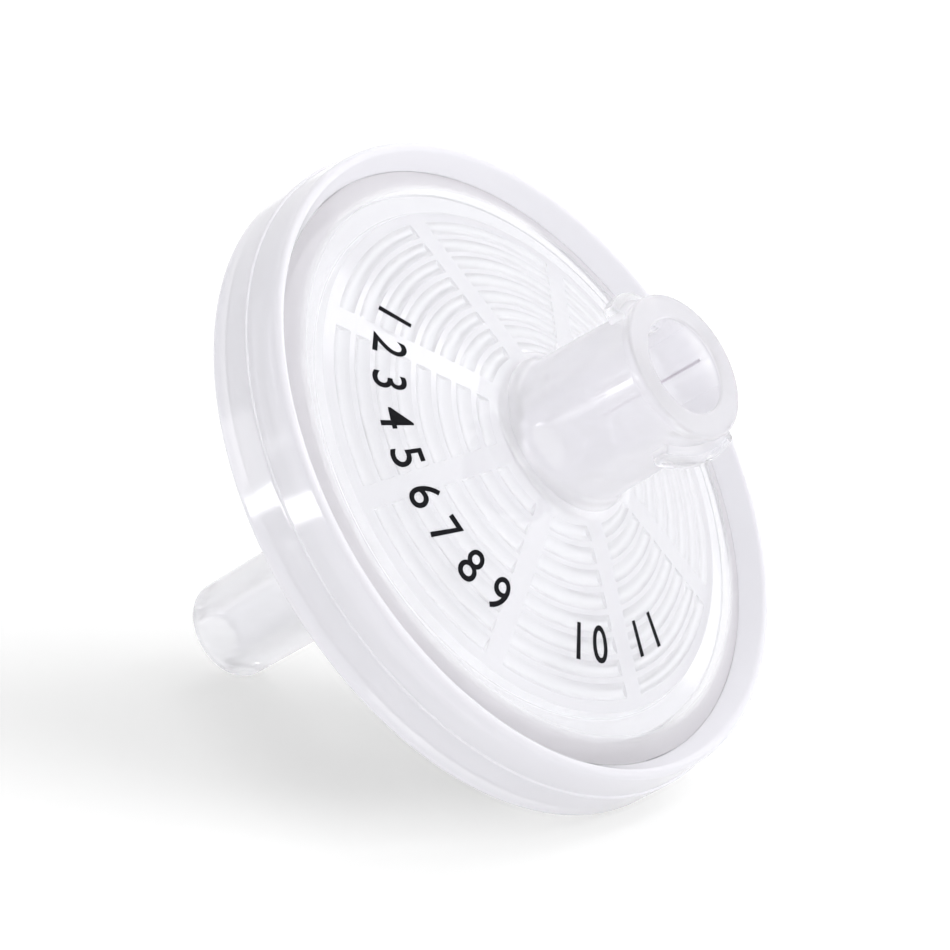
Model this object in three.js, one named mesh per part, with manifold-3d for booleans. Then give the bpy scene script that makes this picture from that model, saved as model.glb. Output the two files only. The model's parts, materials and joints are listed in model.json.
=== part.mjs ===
// A 25 mm syringe filter: a clear polypropylene housing in two halves that clamp a glass fibre
// prefilter and a membrane, held together by a band moulded round their flanges. The inlet is a
// female luer lock with two lugs, the outlet is a male luer slip.
// Units are millimetres. Every piece is turned about one Z axis, inlet up, with z = 0 at the outlet
// side of the band. The finished filter then lies down on the edge of its band and the end of its
// spout, with its origin on the surface below the middle of its box.
import * as THREE from 'three';
import { mergeVertices } from 'three/addons/utils/BufferGeometryUtils.js';
import Module from 'manifold-3d';

const wasm = await Module();
wasm.setup();

// ---- driving dimensions ----

const SIDES = 48;                  // flats round every turned surface
const SEAM_GAP = 0.25;             // between surfaces that are welded or touch on the real filter

// band moulded round both flanges
const BAND_RADIUS = 15;
const BAND_HEIGHT = 2.1;           // up to the small step below the lip
const BAND_STEP = 0.1;             // how far the lip stands back behind the band
const BAND_BEVEL = 0.15;           // on the outlet-side edge
const BAND_WALL = 0.5;             // plastic left outside the flanges
const HOOK_DEPTH = 0.7;            // how far the band reaches in over each flange
const HOOK_WALL = 0.42;            // thickness of the band under the outlet flange
const LIP_RISE = 0.98;             // crest of the lip above the foot of its inner flank
const LIP_DRAFT = 0.12;            // the outside of the lip leans in by this much
const LIP_ROUND = 0.25;            // rounding of the crest
const LIP_FLANK = 58;              // degrees, slope of the inner flank

// clamping flanges and the pocket that holds the discs
const OUTLET_FLANGE = 0.505;
const INLET_FLANGE = 0.545;
const POCKET_DEPTH = 0.325;        // sunk into the outlet flange
const POCKET_WALL = 0.85;          // from the pocket out to the seam of the band
const PINCH_WIDTH = 0.95;          // ring of the discs that is clamped

// discs
const PREFILTER_THICKNESS = 0.42;
const MEMBRANE_THICKNESS = 0.14;

// inlet half: a shallow cone that rises to the luer
const FACE_RIM = 1.04;             // edge of the face above the clamped discs
const FACE_SLOPE = 0.265;          // rise for each millimetre towards the axis
const FACE_WALL = 0.9;             // measured along the axis
const GROOVE_WIDTH = 0.69;         // from the edge of the face to the band
const GROOVE_SLOPE = 0.46;
const HUB_FILLET = 1.05;

// female luer lock
const BARREL_RISE = 7.11;          // end face above the cone at the foot of the fillet
const BARREL_STEP = 0.13;          // the barrel is slimmer than its collar
const BARREL_DRAFT = 0.02;         // growth in radius for each millimetre down
const COLLAR_RADIUS = 3.3;         // ring round the mouth
const COLLAR_HEIGHT = 0.55;
const COLLAR_BEVEL = 0.08;
const SOCKET_RADIUS = 2.15;        // at the mouth
const SOCKET_TAPER = 0.03;         // six per cent on diameter
const SOCKET_FLOOR = 0.52;         // plastic under the socket
const MOUTH_BEVEL = 0.12;
const FEED_RADIUS = 1.1;

// lock lugs: two lengths of a right-hand double thread
const LUG_COUNT = 2;
const LUG_PROUD = 0.62;            // crest outside the collar
const LUG_LEAD = 5;
const LUG_SPAN = 64;               // degrees of arc
const LUG_ROOT = 1.15;             // thickness along the axis, inside the barrel wall
const LUG_CREST = 0.55;
const LUG_DROP = 1.4;              // end face to the middle of a lug
const LUG_STEPS = 12;

// outlet half
const SUPPORT_RISE = 0.3;          // membrane above the floor at the edge of the chamber
const BACK_SLOPE = 0.22;
const BACK_WALL = 0.8;
const NECK_RADIUS = 3.1;           // between the back and the spout
const NECK_LENGTH = 6.32;
const NECK_FILLET = 1.2;
const SPOUT_LENGTH = 7.4;
const SPOUT_RADIUS = 2.23;         // at the end, before rounding
const SPOUT_TAPER = 0.012;         // growth in radius for each millimetre up
const SPOUT_ROUND = 0.45;
const DRAIN_RADIUS = 1.05;

// rings of ridges that face the discs, crossed by straight channels
const RIDGE_FIRST = 4.12;          // radius of the innermost ridge
const RIDGE_PITCH = 0.93;
const RIDGE_WIDTH = 0.46;
const RIDGE_HEIGHT = 0.45;         // on the inlet side
const RIDGE_ROOT = 0.1;            // the part of a ridge that is sunk in its wall
const CHANNEL_COUNT = 8;
const CHANNEL_WIDTH = 1.15;

const CLOCKING = -1.5;             // degrees from the side it lies on to the lugs and channels

// ---- sizes that follow: across ----

const recessRadius = BAND_RADIUS - BAND_WALL;
const flangeRadius = recessRadius - SEAM_GAP;
const hookRadius = recessRadius - HOOK_DEPTH;
const seamRadius = hookRadius - SEAM_GAP;
const faceRadius = seamRadius - GROOVE_WIDTH;
const pocketRadius = seamRadius - POCKET_WALL;
const discRadius = pocketRadius - SEAM_GAP;
const chamberRadius = discRadius - PINCH_WIDTH;
const barrelFoot = COLLAR_RADIUS - BARREL_STEP + BARREL_DRAFT * BARREL_RISE;
const hubRadius = barrelFoot + HUB_FILLET;
const neckFoot = NECK_RADIUS + NECK_FILLET;
const ridgeRoom = chamberRadius - RIDGE_WIDTH - RIDGE_FIRST;
const ridgeCount = Math.floor(ridgeRoom / RIDGE_PITCH) + 1;

// ---- sizes that follow: up the stack ----

const outletFlangeBottom = HOOK_WALL + SEAM_GAP;
const outletFlangeTop = outletFlangeBottom + OUTLET_FLANGE;
const inletFlangeBottom = outletFlangeTop + SEAM_GAP;
const inletFlangeTop = inletFlangeBottom + INLET_FLANGE;
const supportZ = outletFlangeTop - POCKET_DEPTH;
const membraneBottom = supportZ + SEAM_GAP;
const membraneTop = membraneBottom + MEMBRANE_THICKNESS;
const prefilterBottom = membraneTop + SEAM_GAP;
const prefilterTop = prefilterBottom + PREFILTER_THICKNESS;
const clampZ = prefilterTop + SEAM_GAP;
const faceEdgeZ = clampZ + FACE_RIM;

// Heights of the four sloping surfaces at a radius.
const faceZ = (r) => faceEdgeZ + FACE_SLOPE * (faceRadius - r);
const grooveZ = (r) => faceEdgeZ - GROOVE_SLOPE * (r - faceRadius);
const floorZ = (r) => supportZ - SUPPORT_RISE - BACK_SLOPE * (chamberRadius - r);
const backZ = (r) => floorZ(r) - BACK_WALL;

const inletZ = faceZ(hubRadius) + BARREL_RISE;
const barrelTop = inletZ - COLLAR_HEIGHT;
const ceilingZ = faceZ(hubRadius) - FACE_WALL;
const socketBottom = ceilingZ + SOCKET_FLOOR;
const socketDepth = inletZ - socketBottom;
const neckBottom = backZ(neckFoot) - NECK_LENGTH;
const outletZ = neckBottom - SPOUT_LENGTH;
const lipTop = grooveZ(hookRadius) + LIP_RISE;

// ---- helpers ----

const halfFlat = Math.PI / SIDES;

// Points on an arc about (r, z), between two angles in degrees.
function arc(r, z, radius, from, to, steps) {
  const points = [];
  for (let i = 0; i <= steps; i++) {
    const angle = THREE.MathUtils.degToRad(from + ((to - from) * i) / steps);
    points.push([r + radius * Math.cos(angle), z + radius * Math.sin(angle)]);
  }
  return points;
}

// Keeps positions only and merges the vertices that coincide.
function bare(geometry) {
  geometry.deleteAttribute('normal');
  geometry.deleteAttribute('uv');
  return mergeVertices(geometry, 1e-5);
}

// Turns a closed outline of [radius, height] points, listed clockwise, about the Z axis.
// A flat is centred on +X, and the middle of each flat lies at the stated radius.
function turn(outline) {
  const grow = 1 / Math.cos(halfFlat);
  const points = outline.map(([r, z]) => new THREE.Vector2(r * grow, z)).reverse();
  points.push(points[0].clone());
  const geometry = new THREE.LatheGeometry(points, SIDES, Math.PI / 2 + halfFlat);
  geometry.rotateX(Math.PI / 2);
  return bare(geometry);
}

function toSolid(geometry) {
  const mesh = new wasm.Mesh({
    numProp: 3,
    vertProperties: new Float32Array(geometry.attributes.position.array),
    triVerts: new Uint32Array(geometry.index.array),
  });
  return new wasm.Manifold(mesh);
}

function toGeometry(solid) {
  const mesh = solid.getMesh();
  const geometry = new THREE.BufferGeometry();
  geometry.setAttribute('position', new THREE.BufferAttribute(mesh.vertProperties, 3));
  geometry.setIndex(new THREE.BufferAttribute(mesh.triVerts, 1));
  return geometry;
}

// Rings of ridges from a wall, wallZ(r), out to their tips, tipZ(r), with the straight channels
// cut through them.
function ridges(wallZ, tipZ) {
  let comb = null;
  for (let i = 0; i < ridgeCount; i++) {
    const inner = RIDGE_FIRST + RIDGE_PITCH * i - RIDGE_WIDTH / 2;
    const outer = inner + RIDGE_WIDTH;
    const side = Math.sign(wallZ(inner) - tipZ(inner));
    const root = (r) => wallZ(r) + side * RIDGE_ROOT;
    const section = [[inner, root(inner)], [outer, root(outer)], [outer, tipZ(outer)], [inner, tipZ(inner)]];
    const ring = toSolid(turn(side > 0 ? section : section.reverse()));
    comb = comb ? comb.add(ring) : ring;
  }
  for (let i = 0; i < CHANNEL_COUNT / 2; i++) {
    const cut = new THREE.BoxGeometry(2 * chamberRadius, CHANNEL_WIDTH, 2 * BAND_RADIUS);
    cut.rotateZ(THREE.MathUtils.degToRad(CLOCKING + (360 / CHANNEL_COUNT) * i));
    comb = comb.subtract(toSolid(bare(cut)));
  }
  return comb;
}

// One lug: a tapered section swept along its stretch of helix, with its foot inside the barrel wall.
function lug(middleAngle) {
  const foot = (SOCKET_RADIUS + COLLAR_RADIUS - BARREL_STEP) / 2;
  const crest = COLLAR_RADIUS + LUG_PROUD;
  const position = [];
  const index = [];
  for (let i = 0; i <= LUG_STEPS; i++) {
    const turned = LUG_SPAN * (i / LUG_STEPS - 0.5);
    const angle = THREE.MathUtils.degToRad(middleAngle + turned);
    const z = inletZ - LUG_DROP + (LUG_LEAD * turned) / 360;
    const section = [
      [foot, z - LUG_ROOT / 2], [crest, z - LUG_CREST / 2],
      [crest, z + LUG_CREST / 2], [foot, z + LUG_ROOT / 2],
    ];
    section.forEach(([r, h]) => position.push(r * Math.cos(angle), r * Math.sin(angle), h));
  }
  for (let i = 0; i < LUG_STEPS; i++) {
    for (let k = 0; k < 4; k++) {
      const a = 4 * i + k;
      const b = 4 * i + ((k + 1) % 4);
      index.push(a, b, b + 4, a, b + 4, a + 4);
    }
  }
  const last = 4 * LUG_STEPS;
  index.push(0, 2, 1, 0, 3, 2, last, last + 1, last + 2, last, last + 2, last + 3);
  const geometry = new THREE.BufferGeometry();
  geometry.setAttribute('position', new THREE.Float32BufferAttribute(position, 3));
  geometry.setIndex(index);
  return toSolid(geometry);
}

// ---- pieces ----

function inletHousing() {
  const wallZ = (r) => faceZ(Math.max(r, hubRadius)) - FACE_WALL;
  const lean = Math.atan(FACE_SLOPE);
  const filletZ = faceZ(hubRadius) + HUB_FILLET / Math.cos(lean);
  const body = turn([
    [SOCKET_RADIUS + MOUTH_BEVEL, inletZ],
    [COLLAR_RADIUS - COLLAR_BEVEL, inletZ],
    [COLLAR_RADIUS, inletZ - COLLAR_BEVEL],
    [COLLAR_RADIUS, barrelTop + BARREL_STEP],
    [COLLAR_RADIUS - BARREL_STEP, barrelTop],
    ...arc(hubRadius, filletZ, HUB_FILLET, 180, 270 - THREE.MathUtils.radToDeg(lean), 5),
    [faceRadius, faceEdgeZ],
    [seamRadius, grooveZ(seamRadius)],
    [seamRadius, inletFlangeTop],
    [flangeRadius, inletFlangeTop],
    [flangeRadius, inletFlangeBottom],
    [pocketRadius, inletFlangeBottom],
    [pocketRadius, clampZ],
    [chamberRadius, clampZ],
    [chamberRadius, wallZ(chamberRadius)],
    [hubRadius, ceilingZ],
    [FEED_RADIUS, ceilingZ],
    [FEED_RADIUS, socketBottom],
    [SOCKET_RADIUS - SOCKET_TAPER * socketDepth, socketBottom],
    [SOCKET_RADIUS, inletZ - MOUTH_BEVEL],
  ]);
  let solid = toSolid(body).add(ridges(wallZ, (r) => wallZ(r) - RIDGE_HEIGHT));
  for (let i = 0; i < LUG_COUNT; i++) {
    solid = solid.add(lug(CLOCKING + (360 / LUG_COUNT) * i));
  }
  return toGeometry(solid);
}

// Centre of the rounding at the end of the spout.
function spoutCorner() {
  const z = outletZ + SPOUT_ROUND;
  return { r: SPOUT_RADIUS + SPOUT_TAPER * SPOUT_ROUND - SPOUT_ROUND, z };
}

function outletHousing() {
  const lean = Math.atan(BACK_SLOPE);
  const filletZ = backZ(neckFoot) - NECK_FILLET / Math.cos(lean);
  const spoutTop = SPOUT_RADIUS + SPOUT_TAPER * SPOUT_LENGTH;
  const corner = spoutCorner();
  const body = turn([
    [DRAIN_RADIUS, floorZ(neckFoot)],
    [neckFoot, floorZ(neckFoot)],
    [chamberRadius, floorZ(chamberRadius)],
    [chamberRadius, supportZ],
    [pocketRadius, supportZ],
    [pocketRadius, outletFlangeTop],
    [flangeRadius, outletFlangeTop],
    [flangeRadius, outletFlangeBottom],
    [seamRadius, outletFlangeBottom],
    [seamRadius, backZ(seamRadius)],
    ...arc(neckFoot, filletZ, NECK_FILLET, 90 + THREE.MathUtils.radToDeg(lean), 180, 5),
    [NECK_RADIUS, neckBottom + NECK_RADIUS - spoutTop],
    [spoutTop, neckBottom],
    ...arc(corner.r, corner.z, SPOUT_ROUND, 0, -90, 4),
    [DRAIN_RADIUS, outletZ],
  ]);
  const wallZ = (r) => floorZ(Math.max(r, neckFoot));
  return toGeometry(toSolid(body).add(ridges(wallZ, () => supportZ)));
}

function mouldedBand() {
  const lipFoot = BAND_RADIUS - BAND_STEP;
  const crest = lipFoot - LIP_DRAFT - LIP_ROUND;
  return turn([
    [hookRadius, grooveZ(hookRadius)],
    ...arc(crest, lipTop - LIP_ROUND, LIP_ROUND, 90 + LIP_FLANK, 0, 5),
    [lipFoot, BAND_HEIGHT],
    [BAND_RADIUS, BAND_HEIGHT - BAND_STEP],
    [BAND_RADIUS, BAND_BEVEL],
    [BAND_RADIUS - BAND_BEVEL, 0],
    [hookRadius, 0],
    [hookRadius, HOOK_WALL],
    [recessRadius, HOOK_WALL],
    [recessRadius, inletFlangeTop + SEAM_GAP],
    [hookRadius, inletFlangeTop + SEAM_GAP],
  ]);
}

// A plain round disc between two heights.
function disc(bottom, top) {
  const geometry = new THREE.CylinderGeometry(discRadius, discRadius, top - bottom, SIDES, 1);
  geometry.rotateX(Math.PI / 2);
  geometry.rotateZ(halfFlat);
  geometry.translate(0, 0, (top + bottom) / 2);
  return bare(geometry);
}

// ---- assembly ----

// The leaning filter touches the surface at the edge of the band and halfway round the spout's end.
function restAngle() {
  const corner = spoutCorner();
  const diagonal = SPOUT_ROUND * Math.SQRT1_2;
  return Math.atan2(BAND_BEVEL - corner.z + diagonal, BAND_RADIUS - corner.r - diagonal);
}

function piece(name, geometry, colour, roughness) {
  const material = new THREE.MeshStandardMaterial({ color: colour, roughness, metalness: 0 });
  const mesh = new THREE.Mesh(geometry, material);
  mesh.name = name;
  return mesh;
}

const filter = new THREE.Group();
filter.add(piece('inlet_housing', inletHousing(), 0xeceaf2, 0.25));
filter.add(piece('outlet_housing', outletHousing(), 0xe9e8f0, 0.25));
filter.add(piece('moulded_band', mouldedBand(), 0xe6e4ee, 0.3));
filter.add(piece('prefilter_disc', disc(prefilterBottom, prefilterTop), 0xf6f6f4, 0.95));
filter.add(piece('membrane_disc', disc(membraneBottom, membraneTop), 0xfbfbfb, 0.8));
filter.rotation.y = restAngle();

const assembly = new THREE.Group();
assembly.add(filter);
assembly.updateMatrixWorld(true);
const box = new THREE.Box3().setFromObject(assembly, true);
filter.position.set(-(box.min.x + box.max.x) / 2, -(box.min.y + box.max.y) / 2, -box.min.z);

export default assembly;
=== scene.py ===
# %% [markdown]
# # A syringe filter, lying on a white table
#
# The real object is a disposable laboratory filter: two injection moulded halves of clear
# polypropylene hold a glass fibre layer and a membrane, and a band of the same plastic is moulded
# round them. Milky, see-through plastic shows whatever is behind and inside it, so this lesson
# builds the filter as it is made: true walls, true ridges under the face, and white discs inside.
#
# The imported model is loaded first. It fixes every size and place, and nothing in it is moved.

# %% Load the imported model
import json
import math

import bmesh
import bpy
from mathutils import Matrix, Vector


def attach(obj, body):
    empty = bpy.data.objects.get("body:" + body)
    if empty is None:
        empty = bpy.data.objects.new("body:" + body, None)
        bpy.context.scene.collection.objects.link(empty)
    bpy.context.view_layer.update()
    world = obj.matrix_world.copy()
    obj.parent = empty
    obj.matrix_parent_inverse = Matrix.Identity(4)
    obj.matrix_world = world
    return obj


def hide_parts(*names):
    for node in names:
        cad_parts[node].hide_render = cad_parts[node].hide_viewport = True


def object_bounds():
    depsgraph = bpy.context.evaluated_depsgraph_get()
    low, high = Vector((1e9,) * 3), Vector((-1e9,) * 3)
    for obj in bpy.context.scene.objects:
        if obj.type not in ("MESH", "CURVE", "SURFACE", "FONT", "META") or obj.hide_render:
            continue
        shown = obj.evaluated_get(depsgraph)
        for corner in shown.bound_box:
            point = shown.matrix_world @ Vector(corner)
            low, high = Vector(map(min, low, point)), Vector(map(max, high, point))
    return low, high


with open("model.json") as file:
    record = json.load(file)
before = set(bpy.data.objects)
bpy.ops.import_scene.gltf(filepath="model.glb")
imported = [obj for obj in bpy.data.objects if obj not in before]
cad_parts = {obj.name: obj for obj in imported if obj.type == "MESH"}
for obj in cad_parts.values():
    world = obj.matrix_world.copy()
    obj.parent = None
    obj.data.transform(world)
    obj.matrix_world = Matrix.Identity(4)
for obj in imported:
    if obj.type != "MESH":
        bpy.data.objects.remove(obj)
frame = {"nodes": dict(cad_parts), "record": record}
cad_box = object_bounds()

MM = 0.001
print("nodes:", sorted(frame["nodes"]))
print("box in mm:", [[round(v / MM, 2) for v in corner] for corner in cad_box])

# %% [markdown]
# ## The filter's own axis
#
# The filter leans on its rim, so its axis is tilted. Turned shapes are far easier to build upright,
# in millimetres, with the axis along Z. The record gives the axis: both luer faces are mounts that
# point along it. Every piece is built upright and then laid down by one matrix.

# %% Find the axis and the upright frame
mounts = {m["name"]: m for m in frame["record"]["mounts"]}
across = Vector((0, 1, 0))
axis = Vector(mounts["inlet_face"]["axis"]).normalized()
under = across.cross(axis)
on_axis = Vector(mounts["inlet_face"]["pos_m"])
on_axis -= across * on_axis.dot(across)


def heights(node):
    """Lowest and highest point of a CAD node along the filter's axis, in metres from on_axis."""
    along = [(v.co - on_axis).dot(axis) for v in frame["nodes"][node].data.vertices]
    return min(along), max(along)


band_foot = on_axis + axis * heights("moulded_band")[0]
LIE_DOWN = Matrix((under, across, axis)).transposed().to_4x4()
LIE_DOWN.translation = band_foot
LIE_DOWN = LIE_DOWN @ Matrix.Scale(MM, 4)
STAND_UP = LIE_DOWN.inverted()
print("lean of the axis above the table:", round(math.degrees(math.asin(axis.z)), 2), "degrees")

# %% [markdown]
# ## Sizes read from the frame
#
# The largest radius and the heights of each node come from its vertices. The CAD model is faceted,
# with 48 flats, so the true radius is measured to the middle of a flat. z = 0 is the outlet side
# of the band. The band rests on the table, so it is kept a hair inside its node, and nothing of it
# goes below the table's top.

# %% Measure the nodes
CAD_FLATS = 48
HAIR = 0.005


def measure(node):
    """(true outer radius, lowest z, highest z) of a node, upright, in millimetres."""
    points = [STAND_UP @ v.co for v in frame["nodes"][node].data.vertices]
    radius = max(math.hypot(p.x, p.y) for p in points) * math.cos(math.pi / CAD_FLATS)
    return radius, min(p.z for p in points), max(p.z for p in points)


BAND_RADIUS, _, LIP_Z = measure("moulded_band")
BAND_RADIUS -= HAIR
_, _, INLET_Z = measure("inlet_housing")
_, OUTLET_Z, _ = measure("outlet_housing")
DISC_RADIUS, MEMBRANE_BOTTOM, MEMBRANE_TOP = measure("membrane_disc")
_, PREFILTER_BOTTOM, PREFILTER_TOP = measure("prefilter_disc")
print("band radius", round(BAND_RADIUS, 3), "lip", round(LIP_Z, 3), "inlet", round(INLET_Z, 3))
print("outlet", round(OUTLET_Z, 3), "discs", round(DISC_RADIUS, 3))

# %% [markdown]
# ## The camera
#
# A long lens from above and to the right of the inlet, turned a little about its own axis. A long
# lens keeps the rim an almost true ellipse, as in a catalogue picture of a small part. The camera
# could be aimed with a Track To constraint, but one matrix is easier to repeat exactly. The aim is
# the middle of the object, nudged by a fraction of a millimetre. Two helpers come first: one puts
# a new object into the scene, and one turns a compass turn and a rise into a direction.

# %% Place the camera
CAMERA_TURN = 32.79
CAMERA_RISE = 16.26
CAMERA_ROLL = 7.14
CAMERA_DISTANCE = 214.5 * MM
FOCAL_LENGTH = 190.5
SENSOR_WIDTH = 36
NEAREST, FARTHEST = 0.01, 10
AIM_NUDGE = Vector((0.5, 0.16, -0.46)) * MM


def placed(name, data):
    """A new object in the scene that shows a mesh, a camera, a lamp or a text."""
    made = bpy.data.objects.new(name, data)
    bpy.context.scene.collection.objects.link(made)
    return made


def direction(turn, rise):
    """A unit vector towards a compass turn and a rise above the table, both in degrees."""
    turn, rise = math.radians(turn), math.radians(rise)
    return Vector((math.sin(turn) * math.cos(rise), -math.cos(turn) * math.cos(rise), math.sin(rise)))


aim = (cad_box[0] + cad_box[1]) / 2 + AIM_NUDGE
to_camera = direction(CAMERA_TURN, CAMERA_RISE)
camera = placed("camera", bpy.data.cameras.new("camera"))
camera.data.lens = FOCAL_LENGTH
camera.data.sensor_width = SENSOR_WIDTH
camera.data.clip_start = NEAREST
camera.data.clip_end = FARTHEST
facing = (-to_camera).to_track_quat("-Z", "Y").to_matrix().to_4x4()
camera.matrix_world = (Matrix.Translation(aim + to_camera * CAMERA_DISTANCE) @ facing
                       @ Matrix.Rotation(math.radians(CAMERA_ROLL), 4, "Z"))
bpy.context.scene.camera = camera
print("camera at", [round(v / MM, 1) for v in camera.matrix_world.translation], "mm")

# %% [markdown]
# ## A helper for nodes and one for colours
#
# Materials, the world and Geometry Nodes are all trees of nodes. One function adds a node of any
# kind, sets its properties, and sets or links its inputs, so a tree reads like a list of its
# nodes. Colours are written as sRGB hex codes, and Blender works in linear light, so a second
# function turns one into the other.

# %% Add a node, read a colour
def add(tree, kind, links=None, **settings):
    """Adds a node, sets its properties, then sets or links its inputs by name or number."""
    made = tree.nodes.new(kind)
    for key, value in settings.items():
        setattr(made, key, value)
    for key, value in (links or {}).items():
        if isinstance(value, bpy.types.NodeSocket):
            tree.links.new(value, made.inputs[key])
        else:
            made.inputs[key].default_value = value
    return made


def colour(hex_code):
    """A linear RGBA colour from an sRGB hex code."""
    srgb = [int(hex_code[i:i + 2], 16) / 255 for i in (1, 3, 5)]
    return [v / 12.92 if v <= 0.04045 else ((v + 0.055) / 1.055) ** 2.4 for v in srgb] + [1.0]


print("middle grey in linear light:", round(colour("#808080")[0], 3))

# %% [markdown]
# ## Turned shapes
#
# Both halves, the band and the discs are bodies of revolution, because round mould inserts are
# turned on a lathe. A Screw modifier could turn an outline too, but building the rings directly
# gives clean quads. An outline is a list of (radius, height) points, clockwise, so its faces point
# outwards, and its last point joins its first, so the body is closed. Each long line gets a ring
# close to both of its ends. Without them smooth shading would bend the light across the whole
# line, and a straight barrel would look like a pillow.

# %% Arcs, support rings and turning
SIDES = 240
LONG_LINE = 0.6
HOLD = 0.08


def arc(r, z, radius, start, end, steps):
    """Points on an arc about (r, z), from one angle to another in degrees."""
    turns = [math.radians(start + (end - start) * i / steps) for i in range(steps + 1)]
    return [(r + radius * math.cos(t), z + radius * math.sin(t)) for t in turns]


def held(outline):
    """The outline with a ring close to both ends of each long line, so smooth shading keeps it flat."""
    rings = []
    for (r, z), (next_r, next_z) in zip(outline, outline[1:] + outline[:1]):
        rings.append((r, z))
        length = math.hypot(next_r - r, next_z - z)
        if length > LONG_LINE:
            for share in (HOLD / length, 1 - HOLD / length):
                rings.append((r + (next_r - r) * share, z + (next_z - z) * share))
    return rings


def turned(name, outline):
    """A mesh object: a closed outline turned about Z, upright, in millimetres."""
    outline = held(outline)
    points = []
    faces = []
    rows = len(outline)
    for i, (r, z) in enumerate(outline):
        below = (i + 1) % rows
        for j in range(SIDES):
            angle = 2 * math.pi * j / SIDES
            points.append((r * math.cos(angle), r * math.sin(angle), z))
            beside = (j + 1) % SIDES
            faces.append((i * SIDES + j, below * SIDES + j, below * SIDES + beside, i * SIDES + beside))
    mesh = bpy.data.meshes.new(name)
    mesh.from_pydata(points, [], faces)
    return placed(name, mesh)


print("flats round a turned shape:", SIDES)

# %% [markdown]
# ## Plain meshes and unions
#
# The exported model holds plain meshes only, so a modifier's result is copied to a new mesh and
# the old object goes. Ridges, lugs and walls are one moulding, so they are united into one closed
# skin. That matters for a clear plastic: two bodies that only overlap would show their inner faces
# as if there were air between them.

# %% Bake, turn outwards, unite
def baked(made):
    """A plain mesh object from an object with its modifiers applied. The old object goes."""
    name = made.name
    graph = bpy.context.evaluated_depsgraph_get()
    mesh = bpy.data.meshes.new_from_object(made.evaluated_get(graph))
    made.name = "worn_out"
    bpy.data.objects.remove(made)
    mesh.name = name
    return placed(name, mesh)


def outwards(made):
    """Turns the faces of closed shells outwards."""
    mesh = bmesh.new()
    mesh.from_mesh(made.data)
    bmesh.ops.recalc_face_normals(mesh, faces=mesh.faces)
    mesh.to_mesh(made.data)
    mesh.free()


def joined(base, others):
    """Base united with the other closed meshes, as one closed mesh."""
    for other in others:
        union = base.modifiers.new("union", "BOOLEAN")
        union.operation = "UNION"
        union.solver = "MANIFOLD"
        union.object = other
    made = baked(base)
    for other in others:
        bpy.data.objects.remove(other)
    return made


# %% [markdown]
# ## What the plastic is told about itself
#
# One material has to look right in a thin, clear wall and in a thick, white barrel. The mesh
# carries that: each vertex stores how milky it is ("wall"), how deep its tone is, which also holds
# painted shade, and whether it belongs to the band or the outlet half, which let less light on
# ("shade"). Faces that are fused to the neighbouring piece store "bond", and light crosses them as
# if they weren't there, because the molten band bonds to the halves and leaves no gap between them.

# %% Store wall, depth, shade and bond
SMOOTH_BELOW = math.radians(32)


def wall_of(made, rule, shade):
    """Stores on each vertex how milky (wall) and how deep in tone the plastic is, painted shade included,
    and its shade.
    """
    layers = [made.data.attributes.new(n, "FLOAT", "POINT").data for n in ("wall", "tone_and_painted_shade", "shade")]
    for i, v in enumerate(made.data.vertices):
        for layer, value in zip(layers, (*rule(math.hypot(v.co.x, v.co.y), v.co.z), shade)):
            layer[i].value = value


def bond_of(made, bonded):
    """Stores on each face 1 where the plastic is fused to its neighbour, so no light bends there."""
    values = made.data.attributes.new("bond", "FLOAT", "FACE").data
    fused = 0
    for face, value in zip(made.data.polygons, values):
        value.value = float(bonded(math.hypot(face.center.x, face.center.y), face.center.z))
        fused += value.value
    print(made.name, "fused faces:", round(fused))


# %% [markdown]
# ## Laying a piece down
#
# A finished piece is shaded smooth, with sharp edges kept where two faces meet at a clear angle.
# Then one matrix lays it down on the table. The matrix goes into the mesh, so the object itself
# stays at the origin, unturned. The last lines tell the frame which body the piece rides on and
# which nodes it replaces.

# %% Lay a piece down
def laid(made, material, slot, *nodes):
    """Shades a finished upright piece, lays it down, and tells the frame what it is."""
    made.data.transform(LIE_DOWN)
    made.data.materials.clear()
    made.data.materials.append(material)
    made.data.shade_smooth()
    made.data.set_sharp_from_angle(angle=SMOOTH_BELOW)
    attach(made, "root")
    if nodes:
        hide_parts(*nodes)
    triangles = sum(len(p.vertices) - 2 for p in made.data.polygons)
    print(made.name, "triangles:", triangles)


# %% [markdown]
# ## Ridges by Geometry Nodes
#
# Rings of small ridges stand on the inside of both halves. They hold the discs off the walls, so
# the liquid spreads over the whole membrane, and eight straight channels cross them and carry it to
# the middle. In the mould they are cut in rings, so they follow a rule, and a node tree makes
# them. Boxes placed one by one would work too, but the tree keeps every size as a named input.
#
# A row of unit blocks is made first, one for each ring and sector. Each block is then bent, and
# the last nodes give it its material. An instance can't be bent, so the blocks are realised before
# the bend.

# %% The row of blocks
RIDGE_STEPS = 24
RIDGE_SIZES = ("First radius", "Pitch", "Width", "Channel width", "Turn", "Flat inside",
               "Wall height", "Wall slope", "Tip height", "Tip slope", "Draft", "Crown")
RIDGE_COUNTS = ("Rings", "Sectors")


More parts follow.
